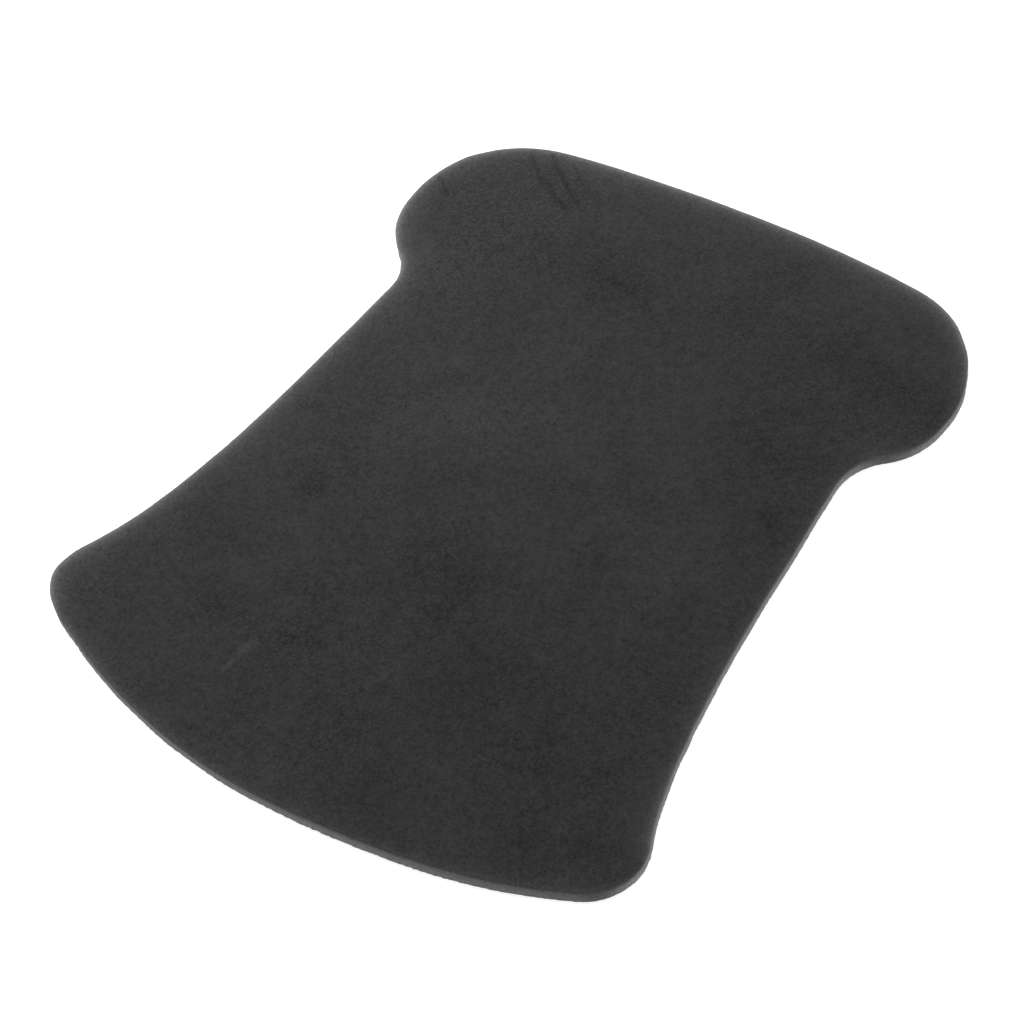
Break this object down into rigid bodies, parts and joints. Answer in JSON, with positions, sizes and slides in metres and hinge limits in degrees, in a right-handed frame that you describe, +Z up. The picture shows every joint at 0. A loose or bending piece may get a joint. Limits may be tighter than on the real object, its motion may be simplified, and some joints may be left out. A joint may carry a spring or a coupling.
{
  "type": "kneeboard deck pad",
  "caption": "Thin bell-shaped closed-cell foam kneeling pad with a flared front and lobed rear, self-adhesive underneath and backed by a split peel-off liner.",
  "frame": {"origin": "centre of the underside, on the bottom face of the release liner, midway between the front and rear apexes", "axes": "+Z up out of the kneeling face, +Y towards the lobed rear (foot) end, -Y towards the flared front (knee) end, +X to the kneeler's left when facing the front"},
  "size_m": [0.44, 0.55, 0.0103],
  "materials": {
    "foam": "matte",
    "adhesive": "satin",
    "liner": "satin"
  },
  "bodies": {
    "pad": {"foam_pad": "foam", "adhesive_film": "adhesive"},
    "liner_front": {"release_liner_front": "liner"},
    "liner_rear": {"release_liner_rear": "liner"}
  },
  "joints": [
    {"name": "liner_front_peel", "type": "hinge", "parent": "pad", "child": "liner_front", "pos_m": [0, -0.275, 0.00014], "axis": [-1, 0, 0], "range_deg": [0, 180]},
    {"name": "liner_rear_peel", "type": "hinge", "parent": "pad", "child": "liner_rear", "pos_m": [0, 0.275, 0.00014], "axis": [1, 0, 0], "range_deg": [0, 180]}
  ]
}
